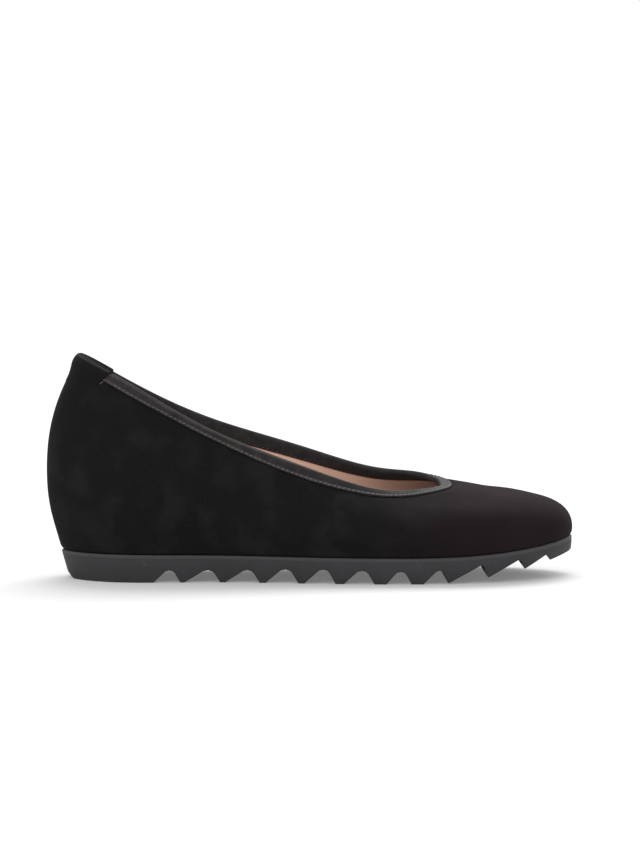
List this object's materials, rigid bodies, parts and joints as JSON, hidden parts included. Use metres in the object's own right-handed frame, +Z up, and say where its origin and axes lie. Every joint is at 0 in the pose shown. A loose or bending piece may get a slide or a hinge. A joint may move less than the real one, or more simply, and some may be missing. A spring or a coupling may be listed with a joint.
{
  "type": "ballet flat",
  "caption": "Slip-on ballet flat for the right foot: low-cut hollow upper with bound edge and heel tab, inner wedge and saw-toothed sole.",
  "frame": {"origin": "on the floor, under the middle of the shoe's box", "axes": "+X from heel to toe, +Y to the inner side of the foot, +Z up from the floor"},
  "size_m": [0.2492, 0.084, 0.1058],
  "materials": {
    "suede": "napped black suede, dull",
    "binding_leather": "smooth black leather, soft gloss",
    "lining_leather": "plain beige lining leather, satin",
    "moulded_sole": "moulded dark grey, matte"
  },
  "bodies": {
    "root": {"outsole": "moulded_sole", "upper": "suede", "insole": "lining_leather", "topline_binding": "binding_leather", "heel_tab": "suede"}
  },
  "joints": []
}
